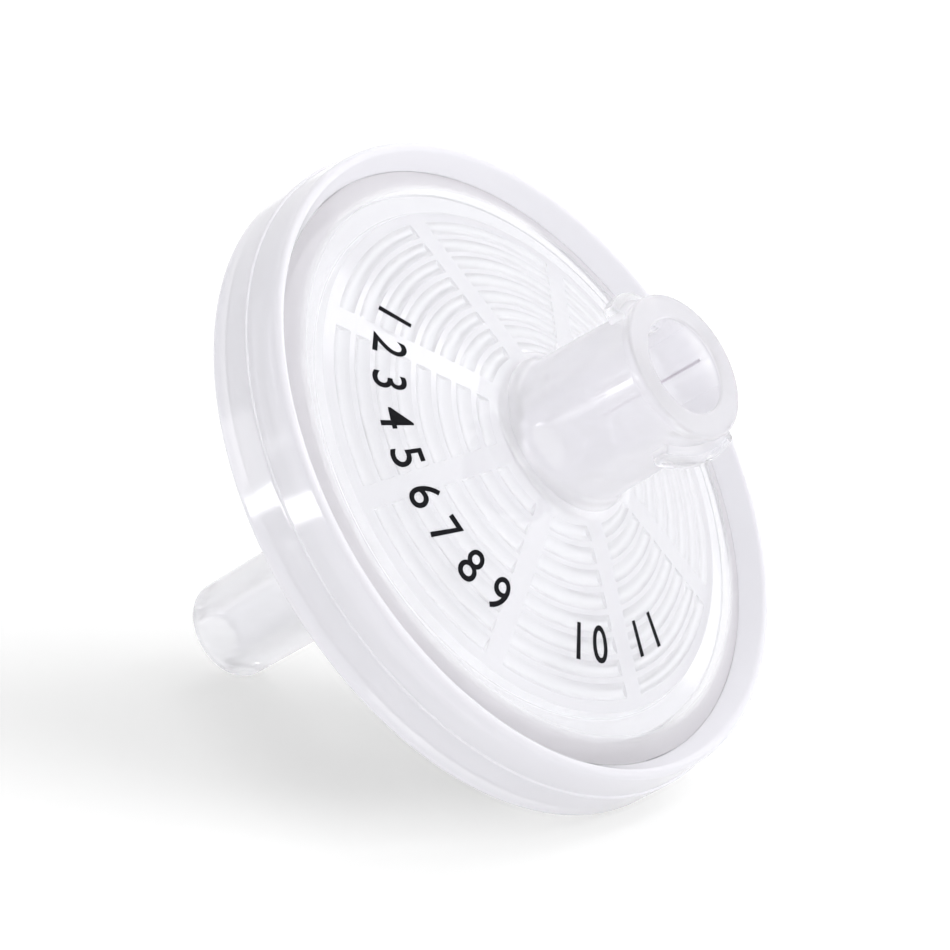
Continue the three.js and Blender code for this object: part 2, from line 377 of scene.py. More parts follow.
def ridge_blocks(tree, count):
    """Real unit blocks, with each block's number and each point's place in its block."""
    row = add(tree, "GeometryNodeMeshLine", {"Count": count, "Offset": (0, 0, 0)})
    numbered = add(tree, "GeometryNodeCaptureAttribute", {"Geometry": row.outputs[0]})
    numbered.capture_items.new("FLOAT", "Number")
    tree.links.new(add(tree, "GeometryNodeInputIndex").outputs[0], numbered.inputs["Number"])
    block = add(tree, "GeometryNodeMeshCube", {
        "Size": (1, 1, 1), "Vertices X": RIDGE_STEPS + 1, "Vertices Y": 9, "Vertices Z": 2})
    shaped = add(tree, "GeometryNodeCaptureAttribute", {"Geometry": block.outputs[0]})
    shaped.capture_items.new("VECTOR", "Place")
    tree.links.new(add(tree, "GeometryNodeInputPosition").outputs[0], shaped.inputs["Place"])
    blocks = add(tree, "GeometryNodeInstanceOnPoints", {
        "Points": numbered.outputs[0], "Instance": shaped.outputs[0]})
    real = add(tree, "GeometryNodeRealizeInstances", {0: blocks.outputs[0]})
    return real.outputs[0], numbered.outputs[1], shaped.outputs[1]


print("sizes of the ridge tree:", len(RIDGE_SIZES) + len(RIDGE_COUNTS))

# %% [markdown]
# ## Bending a block
#
# A block's number gives its ring and its sector. Its X runs round the ring, its Y goes across the
# ridge and its Z from the wall to the tip. Its ends follow the parallel edges of the channels, its
# sides lean in a little, as a mould needs, and its crest is a parabola.

# %% The bend
def ridge_bend(tree, given, number, shape):
    """Where each point of each block goes, from its number, its place in the block and the sizes."""

    def do(operation, *values):
        return add(tree, "ShaderNodeMath", dict(enumerate(values)), operation=operation).outputs[0]

    place = add(tree, "ShaderNodeSeparateXYZ", {0: shape}).outputs
    ring = do("FLOOR", do("DIVIDE", do("ADD", number, 0.5), given["Sectors"]))
    sector = do("SUBTRACT", number, do("MULTIPLY", ring, given["Sectors"]))
    up = do("ADD", place["Z"], 0.5)
    along = do("ADD", place["X"], 0.5)

    middle = do("MULTIPLY_ADD", ring, given["Pitch"], given["First radius"])
    narrow = do("MULTIPLY_ADD", up, do("MULTIPLY", given["Draft"], -2.0), given["Width"])
    radius = do("MULTIPLY_ADD", place["Y"], narrow, middle)

    half_gap = do("MULTIPLY_ADD", up, given["Draft"], do("DIVIDE", given["Channel width"], 2.0))
    edge = do("ARCSINE", do("DIVIDE", half_gap, radius))
    span = do("DIVIDE", math.tau, given["Sectors"])
    start = do("MULTIPLY_ADD", sector, span, given["Turn"])
    share = do("SUBTRACT", span, do("MULTIPLY", edge, 2.0))
    angle = do("ADD", do("ADD", start, edge), do("MULTIPLY", share, along))

    clear = do("MAXIMUM", radius, given["Flat inside"])
    wall = do("MULTIPLY_ADD", clear, given["Wall slope"], given["Wall height"])
    tip = do("MULTIPLY_ADD", clear, given["Tip slope"], given["Tip height"])
    height = do("MULTIPLY_ADD", do("SUBTRACT", tip, wall), up, wall)
    bow = do("MULTIPLY", do("MULTIPLY", place["Y"], place["Y"]), do("MULTIPLY", given["Crown"], 4.0))
    height = do("ADD", height, do("MULTIPLY", bow, up))
    return add(tree, "ShaderNodeCombineXYZ", {
        "X": do("MULTIPLY", radius, do("COSINE", angle)),
        "Y": do("MULTIPLY", radius, do("SINE", angle)),
        "Z": height}).outputs[0]


# %% The ridge tree
def ridge_tree(material):
    """Rings of bent ridges between straight channels."""
    tree = bpy.data.node_groups.new("ridge_rings", "GeometryNodeTree")
    face = tree.interface
    for label in RIDGE_SIZES:
        face.new_socket(label, in_out="INPUT", socket_type="NodeSocketFloat")
    for label in RIDGE_COUNTS:
        face.new_socket(label, in_out="INPUT", socket_type="NodeSocketInt")
    face.new_socket("Geometry", in_out="OUTPUT", socket_type="NodeSocketGeometry")
    given = add(tree, "NodeGroupInput").outputs
    count = add(tree, "ShaderNodeMath", {0: given["Rings"], 1: given["Sectors"]}, operation="MULTIPLY")
    blocks, number, shape = ridge_blocks(tree, count.outputs[0])
    bend = ridge_bend(tree, given, number, shape)
    bent = add(tree, "GeometryNodeSetPosition", {"Geometry": blocks, "Position": bend})
    painted = add(tree, "GeometryNodeSetMaterial", {"Geometry": bent.outputs[0], "Material": material})
    add(tree, "NodeGroupOutput", {0: painted.outputs[0]})
    return tree


# %% Grow a mesh from a tree
def grown(name, tree, **values):
    """A plain mesh grown by a Geometry Nodes tree with these input values."""
    seed = placed(name, bpy.data.meshes.new(name))
    modifier = seed.modifiers.new("grow", "NODES")
    modifier.node_group = tree
    sockets = {s.name: s.identifier for s in tree.interface.items_tree if s.in_out == "INPUT"}
    for label, value in values.items():
        modifier[sockets[label.replace("_", " ")]] = value
    made = baked(seed)
    outwards(made)
    print(name, "faces:", len(made.data.polygons))
    return made


# %% [markdown]
# ## Polypropylene
#
# The halves and the band are injection moulded from natural polypropylene. It is a clear plastic
# full of tiny crystals, so it is milky: a thin wall shows what is behind it, softly, and a thick
# one looks white. The mould was polished, so the outside is glossy with a faint waviness, and its
# refractive index is 1.49.
#
# A volume shader would be the true way, but it is slow and noisy, and most of it is lost in an
# export. Here the milkiness sits at the surface. A refracting part is mixed with a haze, and the
# wall attribute sets how much haze there is. Part of the haze lets light on to the other side and
# part of it sends light back with the same gloss as the clear part.

# %% The clear part and the haze
PP_INDEX = 1.49
WAVE_LENGTH = 2.4 * MM
WAVE_HEIGHT = 0.05 * MM


def milky_body(tree, hex_code, thick_code, thin_haze, thick_haze, sent_back, roughness):
    """Clear plastic mixed with a haze that sends a part of the light back."""
    place = add(tree, "ShaderNodeTexCoord").outputs["Object"]
    waves = add(tree, "ShaderNodeTexNoise", {"Vector": place, "Scale": 1 / WAVE_LENGTH, "Detail": 0.0})
    waviness = add(tree, "ShaderNodeBump", {
        "Height": waves.outputs["Fac"], "Strength": 0.1, "Distance": WAVE_HEIGHT}).outputs[0]
    wall = add(tree, "ShaderNodeAttribute", attribute_name="wall").outputs["Fac"]
    # The tone also carries painted shade: the groove, the socket, the witness line and the floor between the
    # ridges get a deeper colour where less light reaches them.
    tone_and_painted_shade = add(tree, "ShaderNodeAttribute", attribute_name="tone_and_painted_shade").outputs["Fac"]
    amount = add(tree, "ShaderNodeMapRange", {"Value": wall, "To Min": thin_haze, "To Max": thick_haze})
    tone = add(tree, "ShaderNodeMix", {0: tone_and_painted_shade, 6: colour(hex_code), 7: colour(thick_code)},
               data_type="RGBA", clamp_factor=False).outputs[2]
    clear, white = (add(tree, "ShaderNodeBsdfPrincipled", {
        "Base Color": tone, "Roughness": roughness, "IOR": PP_INDEX,
        "Transmission Weight": clearness, "Normal": waviness}).outputs[0] for clearness in (1.0, 0.0))
    onward = add(tree, "ShaderNodeBsdfTranslucent", {"Color": tone})
    haze = add(tree, "ShaderNodeMixShader", {0: sent_back, 1: onward.outputs[0], 2: white})
    return add(tree, "ShaderNodeMixShader", {0: amount.outputs[0], 1: clear, 2: haze.outputs[0]}).outputs[0]


print("waves:", round(WAVE_LENGTH / MM, 2), "mm long,", round(WAVE_HEIGHT / MM, 2), "mm high")

# %% [markdown]
# ## Light that gets through
#
# Milky plastic throws a pale shadow, and light from a lamp reaches its inside. A refracting
# surface blocks the straight line to a lamp, so Cycles would draw that shadow black and leave the
# inside dark. Light Path tells which kind of ray has arrived. Shadow rays go straight on through a
# Transparent shader, a little dimmed, and so do nearly all diffuse rays. Fused faces let every
# ray on. For a shadow ray the share is all of it, so Cycles can skip the rest of the tree,
# which makes the render much quicker.

# %% The share that goes straight on
FACE_LETS_THROUGH = 0.92
BACK_LETS_THROUGH = 0.82
SKY_THROUGH = 0.96


def straight_on(tree):
    """How much of a ray goes straight on, and how bright it is then."""
    rays = add(tree, "ShaderNodeLightPath").outputs
    shade = add(tree, "ShaderNodeAttribute", attribute_name="shade").outputs["Fac"]
    bond = add(tree, "ShaderNodeAttribute", attribute_name="bond").outputs["Fac"]
    lets = add(tree, "ShaderNodeMapRange", {
        "Value": shade, "To Min": FACE_LETS_THROUGH, "To Max": BACK_LETS_THROUGH})
    dimmed = add(tree, "ShaderNodeMapRange", {
        "Value": rays["Is Shadow Ray"], "To Min": 1.0, "To Max": lets.outputs[0]})
    bright = add(tree, "ShaderNodeMath", {0: dimmed.outputs[0], 1: bond}, operation="MAXIMUM")
    sky = add(tree, "ShaderNodeMath", {0: rays["Is Diffuse Ray"], 1: SKY_THROUGH}, operation="MULTIPLY")
    share = add(tree, "ShaderNodeMath", {0: rays["Is Shadow Ray"], 1: sky.outputs[0]}, operation="MAXIMUM")
    share = add(tree, "ShaderNodeMath", {0: share.outputs[0], 1: bond}, operation="MAXIMUM")
    return share.outputs[0], bright.outputs[0]


print("light that gets through: face", FACE_LETS_THROUGH, "back", BACK_LETS_THROUGH)

# %% Two shades of polypropylene
# Moulded polypropylene: glossy, cool white, clear where it is thin. The band is the same plastic,
# moulded later and thicker, so it is whiter and hides more.
def new_material(name):
    """An empty material: its node tree and itself."""
    material = bpy.data.materials.new(name)
    material.use_nodes = True
    material.node_tree.nodes.clear()
    return material.node_tree, material


def polypropylene(name, hex_code, thick_code, thin_haze, thick_haze, sent_back, roughness):
    """A plastic that is clear where it is thin and milky where it is thick."""
    tree, material = new_material(name)
    milky = milky_body(tree, hex_code, thick_code, thin_haze, thick_haze, sent_back, roughness)
    share, bright = straight_on(tree)
    through = add(tree, "ShaderNodeBsdfTransparent", {"Color": bright})
    plastic = add(tree, "ShaderNodeMixShader", {0: share, 1: milky, 2: through.outputs[0]})
    add(tree, "ShaderNodeOutputMaterial", {"Surface": plastic.outputs[0]})
    return material


housing_plastic = polypropylene("moulded_polypropylene", "#FBFBFE", "#F0EFF3",
                                thin_haze=0.15, thick_haze=0.85, sent_back=0.4, roughness=0.08)
band_plastic = polypropylene("overmoulded_polypropylene", "#FBFBFE", "#F3F2F8",
                             thin_haze=0.35, thick_haze=0.85, sent_back=0.88, roughness=0.09)
print("materials:", housing_plastic.name, band_plastic.name)

# %% [markdown]
# ## Glass fibre and membrane
#
# The prefilter is a felt of glass fibres and the membrane is a thin film full of pores. Both are
# matt and as white as paper, and a little light comes through them. The grain of the felt is about
# 0.3 mm. The pores of the film are far too fine to see, so its grain is drawn coarser than it is,
# at 0.1 mm. Both are very shallow and only break up the light on the surface. A rough Principled
# surface mixed with a Translucent one gives this.

# %% Disc materials
GRAIN_DEPTH = 0.05 * MM


def disc_material(name, hex_code, grain_mm, see_through):
    """A matt white sheet with a fine grain."""
    tree, material = new_material(name)
    place = add(tree, "ShaderNodeTexCoord").outputs["Object"]
    fibres = add(tree, "ShaderNodeTexNoise", {"Vector": place, "Scale": 1 / (grain_mm * MM), "Detail": 4.0})
    grain = add(tree, "ShaderNodeBump", {
        "Height": fibres.outputs["Fac"], "Strength": 0.04, "Distance": GRAIN_DEPTH}).outputs[0]
    sheet = add(tree, "ShaderNodeBsdfPrincipled", {
        "Base Color": colour(hex_code), "Roughness": 0.9, "Normal": grain})
    thin = add(tree, "ShaderNodeBsdfTranslucent", {"Color": colour(hex_code), "Normal": grain})
    mixed = add(tree, "ShaderNodeMixShader", {0: see_through, 1: sheet.outputs[0], 2: thin.outputs[0]})
    add(tree, "ShaderNodeOutputMaterial", {"Surface": mixed.outputs[0]})
    return material


glass_fibre = disc_material("glass_fibre_felt", "#FBFBFD", grain_mm=0.3, see_through=0.15)
membrane_film = disc_material("membrane_film", "#FDFDFD", grain_mm=0.1, see_through=0.15)
print("materials:", glass_fibre.name, membrane_film.name)

# %% [markdown]
# ## The inlet half
#
# The inlet half is one moulding: a luer socket on a barrel, a cone face that runs down to the
# band, a groove before the band, and a chamber under the face. Its outline runs down the outside
# of the luer, over the face to the band, and back up the inside. Moulded edges are never sharp,
# so each has a small rounding. It could be modelled by hand from a cylinder with bevels, but with
# an outline each size has a name, and the wall is the same thickness wherever it should be.

# %% Inlet half sizes, in millimetres
SEAM = 0.03
BAND_WALL = 0.5
HOOK_DEPTH = 0.7
RECESS_RADIUS = BAND_RADIUS - BAND_WALL
HOOK_RADIUS = RECESS_RADIUS - HOOK_DEPTH
SEAM_RADIUS = HOOK_RADIUS - SEAM
GROOVE_WIDTH = 0.94
GROOVE_SLOPE = 0.46
FACE_RADIUS = HOOK_RADIUS - GROOVE_WIDTH
FACE_SLOPE = 0.265
FACE_WALL = 0.9
FACE_RINGS = (5.5, 7.0, 8.5, 10.0, 11.5)
EDGE_SOFT = 0.12
EDGE_TIP = 0.04
EDGE_DROP = 0.01
FACE_RIM = 1.04
DISC_PLAY = 0.25
FACE_EDGE_Z = PREFILTER_TOP + DISC_PLAY + FACE_RIM
PINCH_WIDTH = 0.95
CHAMBER_RADIUS = DISC_RADIUS - PINCH_WIDTH
POCKET_PLAY = 0.1
POCKET_RADIUS = DISC_RADIUS + POCKET_PLAY
CLAMP_GAP = 0.05
COLLAR_RADIUS = 3.3
COLLAR_HEIGHT = 0.55
COLLAR_ROUND = 0.16
COLLAR_HEEL = 0.08
HEEL_FILLET = 0.06
MOUTH_ROUND = 0.14
BARREL_RISE = 7.1
BARREL_STEP = 0.13
BARREL_DRAFT = 0.02
SOCKET_RADIUS = 2.15
SOCKET_TAPER = 0.03
SOCKET_DEPTH = 7.5
FEED_RADIUS = 1.1
HUB_FILLET = 1.05
CLOCKING = math.radians(-1.5)
print("face wall:", FACE_WALL, "mm, socket:", 2 * SOCKET_RADIUS, "mm across")

# %% Heights of the face and the groove
def face_z(r):
    """Height of the outside of the cone face at a radius."""
    return FACE_EDGE_Z + FACE_SLOPE * (FACE_RADIUS - r)


def groove_z(r):
    """Height of the groove by the band at a radius."""
    return FACE_EDGE_Z - GROOVE_SLOPE * (r - FACE_RADIUS)


BARREL_TOP = INLET_Z - COLLAR_HEIGHT
HUB_RADIUS = COLLAR_RADIUS - BARREL_STEP + BARREL_DRAFT * BARREL_RISE + HUB_FILLET
FLANGE_TOP = 1.99
PARTING_Z = 1.3
CLAMP_Z = PREFILTER_TOP + CLAMP_GAP
CEILING_Z = face_z(HUB_RADIUS) - FACE_WALL
FACE_LEAN = math.degrees(math.atan(FACE_SLOPE))
print("hub radius", round(HUB_RADIUS, 2), "face radius", round(FACE_RADIUS, 2))

# %% Turn the inlet half
inlet_outline = [
    *arc(SOCKET_RADIUS + MOUTH_ROUND, INLET_Z - MOUTH_ROUND, MOUTH_ROUND, 180, 90, 4),
    *arc(COLLAR_RADIUS - COLLAR_ROUND, INLET_Z - COLLAR_ROUND, COLLAR_ROUND, 90, 0, 4),
    *arc(COLLAR_RADIUS - COLLAR_HEEL, BARREL_TOP + 2 * COLLAR_HEEL, COLLAR_HEEL, 0, -90, 3),
    *arc(COLLAR_RADIUS - BARREL_STEP + HEEL_FILLET, BARREL_TOP + COLLAR_HEEL - HEEL_FILLET,
         HEEL_FILLET, 90, 180, 3),
    *arc(HUB_RADIUS, face_z(HUB_RADIUS) + HUB_FILLET / math.cos(math.radians(FACE_LEAN)),
         HUB_FILLET, 180, 270 - FACE_LEAN, 12),
    *[(r, face_z(r)) for r in FACE_RINGS],
    (FACE_RADIUS - EDGE_SOFT, face_z(FACE_RADIUS - EDGE_SOFT)),
    (FACE_RADIUS - EDGE_TIP, face_z(FACE_RADIUS - EDGE_TIP) - EDGE_DROP),
    (FACE_RADIUS + EDGE_TIP, groove_z(FACE_RADIUS + EDGE_TIP) - EDGE_DROP / 2),
    (FACE_RADIUS + EDGE_SOFT, groove_z(FACE_RADIUS + EDGE_SOFT)),
    (SEAM_RADIUS, groove_z(SEAM_RADIUS)),
    (SEAM_RADIUS, FLANGE_TOP),
    (RECESS_RADIUS - SEAM, FLANGE_TOP),
    (RECESS_RADIUS - SEAM, PARTING_Z + SEAM),
    (POCKET_RADIUS, PARTING_Z + SEAM),
    (POCKET_RADIUS, CLAMP_Z),
    (CHAMBER_RADIUS, CLAMP_Z),
    (CHAMBER_RADIUS, face_z(CHAMBER_RADIUS) - FACE_WALL),
    (HUB_RADIUS, CEILING_Z),
    (FEED_RADIUS, CEILING_Z),
    (FEED_RADIUS, INLET_Z - SOCKET_DEPTH),
    (SOCKET_RADIUS - SOCKET_TAPER * SOCKET_DEPTH, INLET_Z - SOCKET_DEPTH),
]
inlet_body = turned("inlet_body", inlet_outline)
print("rings:", len(inlet_outline))

# %% [markdown]
# ## The ridges under the face
#
# Eight rings of ridges hang under the face, each 0.84 mm wide at its root and 0.3 mm high with a
# rounded crest, and they reach down to just above the felt. A rounded crest gives soft lines
# through the milky face, where a square one would give hard, dark ones. Their roots sink a little
# into the wall, so that the union has no gap.

# %% Grow the inlet ridges
RIDGE_HEIGHT = 0.3
RIDGE_ROOT = 0.06
ridges = ridge_tree(housing_plastic)
ridge_sizes = dict(First_radius=4.12, Pitch=0.93, Width=0.84, Channel_width=0.95, Turn=CLOCKING,
                   Rings=8, Sectors=8, Flat_inside=HUB_RADIUS, Draft=0.05)
underside = face_z(0) - FACE_WALL
inlet_ridges = grown("inlet_ridges", ridges, Wall_height=underside + RIDGE_ROOT, Wall_slope=-FACE_SLOPE,
                     Tip_height=underside - RIDGE_HEIGHT, Tip_slope=-FACE_SLOPE, Crown=0.33, **ridge_sizes)

# %% [markdown]
# ## The lock lugs
#
# Two short lengths of a right-hand thread stand on the barrel behind the collar, half a turn
# apart. A syringe with a lock ring screws onto them. A Screw modifier would give whole turns, so
# each lug is built as a row of sections along the helix, closed at both ends and softened with a
# bevel.

# %% Lugs
LUG_PROUD = 0.62
LUG_RADIUS = COLLAR_RADIUS + LUG_PROUD
LUG_LEAD = 5.0
LUG_SPAN = math.radians(64)
LUG_ROOT = 1.15
LUG_CREST = 0.55
LUG_DROP = 1.4
LUG_STEPS = 20
LUG_ROUND = 0.1


def lug(name, middle):
    """One length of thread round the barrel, about an angle."""
    foot = (SOCKET_RADIUS + COLLAR_RADIUS) / 2
    mesh = bmesh.new()
    rings = []
    for i in range(LUG_STEPS + 1):
        off = LUG_SPAN * (i / LUG_STEPS - 0.5)
        angle = middle + off
        z = INLET_Z - LUG_DROP + LUG_LEAD * off / math.tau
        section = [(foot, -LUG_ROOT / 2), (LUG_RADIUS, -LUG_CREST / 2),
                   (LUG_RADIUS, LUG_CREST / 2), (foot, LUG_ROOT / 2)]
        rings.append([mesh.verts.new((r * math.cos(angle), r * math.sin(angle), z + h)) for r, h in section])
    for one, two in zip(rings, rings[1:]):
        for k in range(4):
            mesh.faces.new((one[k], one[(k + 1) % 4], two[(k + 1) % 4], two[k]))
    mesh.faces.new(rings[0][::-1])
    mesh.faces.new(rings[-1])
    bmesh.ops.recalc_face_normals(mesh, faces=mesh.faces)
    data = bpy.data.meshes.new(name)
    mesh.to_mesh(data)
    made = placed(name, data)
    soften = made.modifiers.new("soften", "BEVEL")
    soften.width = LUG_ROUND
    soften.segments = 3
    soften.limit_method = "ANGLE"
    return baked(made)


lugs = [lug(f"lug_{i}", CLOCKING + math.pi * i) for i in range(2)]
print("lugs:", [len(made.data.polygons) for made in lugs], "faces")

# %% [markdown]
# ## The witness line in the socket
#
# A fine raised line runs down the wall of the socket, where two parts of the mould core meet. It
# looks dark, because light that enters the thick wall there doesn't come back. A dark stripe in
# the material alone would look alike from the front, but a thin bar, united with the wall, is the
# real shape. Its dark is painted shade as well: the bar gets the deepest tone when the inlet half
# is finished.

# %% The witness line
WITNESS_TURN = math.radians(95)
WITNESS_WIDTH = 0.12
WITNESS_RISE = 0.11
WITNESS_SUNK = 0.2
WITNESS_FROM, WITNESS_TO = 0.6, 6.0
witness_mesh = bmesh.new()
bmesh.ops.create_cube(witness_mesh, size=1.0)
for v in witness_mesh.verts:
    z = INLET_Z - (WITNESS_FROM if v.co.z > 0 else WITNESS_TO)
    wall_r = SOCKET_RADIUS - SOCKET_TAPER * (INLET_Z - z)
    r = wall_r + WITNESS_SUNK if v.co.x > 0 else wall_r - WITNESS_RISE
    v.co = (r, v.co.y * WITNESS_WIDTH, z)
witness_data = bpy.data.meshes.new("witness_line")
witness_mesh.to_mesh(witness_data)
witness_data.transform(Matrix.Rotation(WITNESS_TURN, 4, "Z"))
witness = placed("witness_line", witness_data)
outwards(witness)
print("witness line:", WITNESS_WIDTH, "x", WITNESS_RISE, "mm")

# %% [markdown]
# ## Finish the inlet half
#
# Polypropylene looks clear where it is thin and milky where it is thick. The boolean joins turned
# half, ridges, lugs and line into the one solid the mould makes. Then each spot is told how milky
# and how deep in tone it is: the rim and the groove by the band most, then the ridge side, the
# barrel and the socket. The deep tone in the groove by the band and in the socket is painted shade.
# The witness line is the deepest in tone, painted shade that makes it dark, and the outside of the
# face stays clear. Tops of ridges are a little lighter than the floor between them, painted shade
# between the ridges. The flange inside the band is bonded to it, so those faces let light pass
# straight on.

# %% Unite, mark and lay down the inlet half
BARREL_FADE, BARREL_FADE_WIDTH = 3.9, 0.6
RIM_FADE, RIM_FADE_WIDTH = 12.6, 0.5
BARREL_MILK = 0.34
RIDGE_MILK = 0.48
SOCKET_MILK = 0.17
# The witness line's tone below is painted shade, deep enough to make the line dark.
LINE_MILK, LINE_PAINTED_SHADE = 0.6, 4.5
# The rim's tone below is painted shade, for the dark of the groove by the band.
RIM_PAINTED_SHADE = 2.4
BACK_DEPTH = 0.3
HALFWAY = 8
HUB_REACH = 0.6
UNDER_FACE = 0.3
inlet_body = joined(inlet_body, [inlet_ridges, *lugs, witness])


def thick(r):
    """1 in the barrel, the neck and the rim, 0 in the thin faces between them."""
    barrel, rim = (BARREL_FADE - r) / BARREL_FADE_WIDTH, (r - RIM_FADE) / RIM_FADE_WIDTH
    return min(max(barrel, rim, 0.0), 1.0)


def in_band(r):
    """True where a half is inside the band."""
    return r > SEAM_RADIUS - 0.01


def inlet_wall(r, z):
    """(wall, tone with painted shade) of the inlet half: ridge side, witness line, socket wall, then the
    outside.
    """
    # Under the face, the floor between the ridges gets a deeper tone than their tops: painted shade.
    if HUB_RADIUS - HUB_REACH < r < CHAMBER_RADIUS + 0.05 and z < face_z(r) - UNDER_FACE:
        stands = (face_z(max(r, HUB_RADIUS)) - FACE_WALL - z) / RIDGE_HEIGHT
        return RIDGE_MILK, min(max(1 - stands, 0), 1)
    # The crest of the witness line gets the deepest tone: painted shade that makes the line dark.
    if r < SOCKET_RADIUS - SOCKET_TAPER * (INLET_Z - z) - 0.03 and z > INLET_Z - WITNESS_TO - 0.5:
        return LINE_MILK, LINE_PAINTED_SHADE
    # The socket wall gets the full deep tone: painted shade inside the socket.
    if r < SOCKET_RADIUS + 0.02:
        return SOCKET_MILK, 1.0
    if r < HALFWAY:
        return BARREL_MILK * thick(r), thick(r)
    # The rim and the groove by the band get a tone deeper than the thick wall's own: painted shade in the
    # groove.
    return thick(r), RIM_PAINTED_SHADE * thick(r)


wall_of(inlet_body, inlet_wall, 0.0)
bond_of(inlet_body, lambda r, z: in_band(r) or (r > POCKET_RADIUS + 0.01 and z < PARTING_Z + 0.1))
laid(inlet_body, housing_plastic, "housing_plastic", "inlet_housing")

# %% [markdown]
# ## The outlet half
#
# The outlet half is the other moulding: a shallow cone, a neck and a tapered male luer spout, with
# the same rings of ridges under the membrane. It is turned and united in the same way, so that the
# two halves are as alike as the real ones.

# %% Outlet half sizes, in millimetres
BACK_SLOPE = 0.22
BACK_WALL = 0.8
SUPPORT_RISE = 0.3
SUPPORT_Z = MEMBRANE_BOTTOM - CLAMP_GAP
FLOOR_EDGE_Z = MEMBRANE_BOTTOM - DISC_PLAY - SUPPORT_RISE
NECK_RADIUS = 3.1
NECK_FILLET = 1.2
SPOUT_LENGTH = 7.4
SPOUT_RADIUS = 2.23
SPOUT_TAPER = 0.012
SPOUT_ROUND = 0.54
DRAIN_RADIUS = 1.05
FLANGE_BOTTOM = 0.45
BACK_LEAN = math.degrees(math.atan(BACK_SLOPE))


def floor_z(r):
    """Height of the chamber floor under the membrane at a radius."""
    return FLOOR_EDGE_Z - BACK_SLOPE * (CHAMBER_RADIUS - r)


def back_z(r):
    """Height of the outside of the outlet half at a radius."""
    return floor_z(r) - BACK_WALL


print("chamber floor at the edge:", round(FLOOR_EDGE_Z, 2), "mm above the foot of the band")

# %% Turn the outlet half
neck_foot = NECK_RADIUS + NECK_FILLET
neck_bottom = OUTLET_Z + SPOUT_LENGTH
spout_top = SPOUT_RADIUS + SPOUT_TAPER * SPOUT_LENGTH
corner_radius = SPOUT_RADIUS + SPOUT_TAPER * SPOUT_ROUND - SPOUT_ROUND
outlet_outline = [
    (DRAIN_RADIUS, floor_z(neck_foot)),
    (neck_foot, floor_z(neck_foot)),
    (CHAMBER_RADIUS, floor_z(CHAMBER_RADIUS)),
    (CHAMBER_RADIUS, SUPPORT_Z),
    (POCKET_RADIUS, SUPPORT_Z),
    (POCKET_RADIUS, PARTING_Z),
    (RECESS_RADIUS - SEAM, PARTING_Z),
    (RECESS_RADIUS - SEAM, FLANGE_BOTTOM),
    (SEAM_RADIUS, FLANGE_BOTTOM),
    (SEAM_RADIUS, back_z(SEAM_RADIUS)),
    *arc(neck_foot, back_z(neck_foot) - NECK_FILLET / math.cos(math.radians(BACK_LEAN)),
         NECK_FILLET, 90 + BACK_LEAN, 180, 12),
    (NECK_RADIUS, neck_bottom + NECK_RADIUS - spout_top + 0.1),
    (NECK_RADIUS - 0.1, neck_bottom + NECK_RADIUS - spout_top - 0.05),
    (spout_top, neck_bottom),
    *arc(corner_radius, OUTLET_Z + SPOUT_ROUND, SPOUT_ROUND, 0, -90, 12),
    (DRAIN_RADIUS + 0.08, OUTLET_Z),
    (DRAIN_RADIUS, OUTLET_Z + 0.08),
]
outlet_body = turned("outlet_body", outlet_outline)
print("spout radius", round(spout_top, 3), "neck foot", round(neck_foot, 2))

# %% [markdown]
# ## The ridges under the membrane
#
# The same tree grows them, with other inputs. They stand on the floor, and their flat tips end at
# one height, because the membrane lies on them.

# %% Grow the outlet ridges and finish the outlet half
floor_at_axis = FLOOR_EDGE_Z - BACK_SLOPE * CHAMBER_RADIUS
outlet_sizes = {**ridge_sizes, "Flat_inside": neck_foot}
outlet_ridges = grown("outlet_ridges", ridges, Wall_height=floor_at_axis - RIDGE_ROOT, Wall_slope=BACK_SLOPE,
                      Tip_height=SUPPORT_Z, Tip_slope=0.0, Crown=-0.4, **outlet_sizes)
outlet_body = joined(outlet_body, [outlet_ridges])
wall_of(outlet_body, lambda r, z: (BARREL_MILK * thick(r), BACK_DEPTH * thick(r)), 1.0)
bond_of(outlet_body, lambda r, z: in_band(r) or (r > POCKET_RADIUS + 0.01 and z > PARTING_Z - 0.1))
laid(outlet_body, housing_plastic, "housing_plastic", "outlet_housing")

# %% [markdown]
# ## The moulded band
#
# The band is moulded round the two halves once the discs are in, and holds them shut. Its outside
# is a low drum with a step, and on the inlet side a rounded lip stands up round the groove. Inside,
# it hooks over both flanges, so it can't come off. Booleans could cut it from a cylinder, but they
# would leave untidy faces, so it is one closed ring, turned like the halves.

# %% Turn the band
BAND_HEIGHT = 2.1
BAND_STEP = 0.1
STEP_ROUND = 0.08
FOOT_ROUND = 0.24
LIP_ROUND = 0.25
LIP_DRAFT = 0.12
LIP_FLANK = 58
lip_foot = BAND_RADIUS - BAND_STEP
crest = lip_foot - LIP_DRAFT - LIP_ROUND
band_outline = [
    (HOOK_RADIUS, groove_z(HOOK_RADIUS)),
    *arc(crest, LIP_Z - LIP_ROUND, LIP_ROUND, 90 + LIP_FLANK, 0, 12),
    (lip_foot, BAND_HEIGHT),
    *arc(BAND_RADIUS - STEP_ROUND, BAND_HEIGHT - BAND_STEP, STEP_ROUND, 90, 0, 4),
    *arc(BAND_RADIUS - FOOT_ROUND, FOOT_ROUND, FOOT_ROUND, 0, -90, 5),
    (HOOK_RADIUS, 0),
    (HOOK_RADIUS, FLANGE_BOTTOM - SEAM),
    (RECESS_RADIUS, FLANGE_BOTTOM - SEAM),
    (RECESS_RADIUS, FLANGE_TOP + SEAM),
    (HOOK_RADIUS, FLANGE_TOP + SEAM),
]
band = turned("band", band_outline)
wall_of(band, lambda r, z: (1.0, 1.0), 1.0)
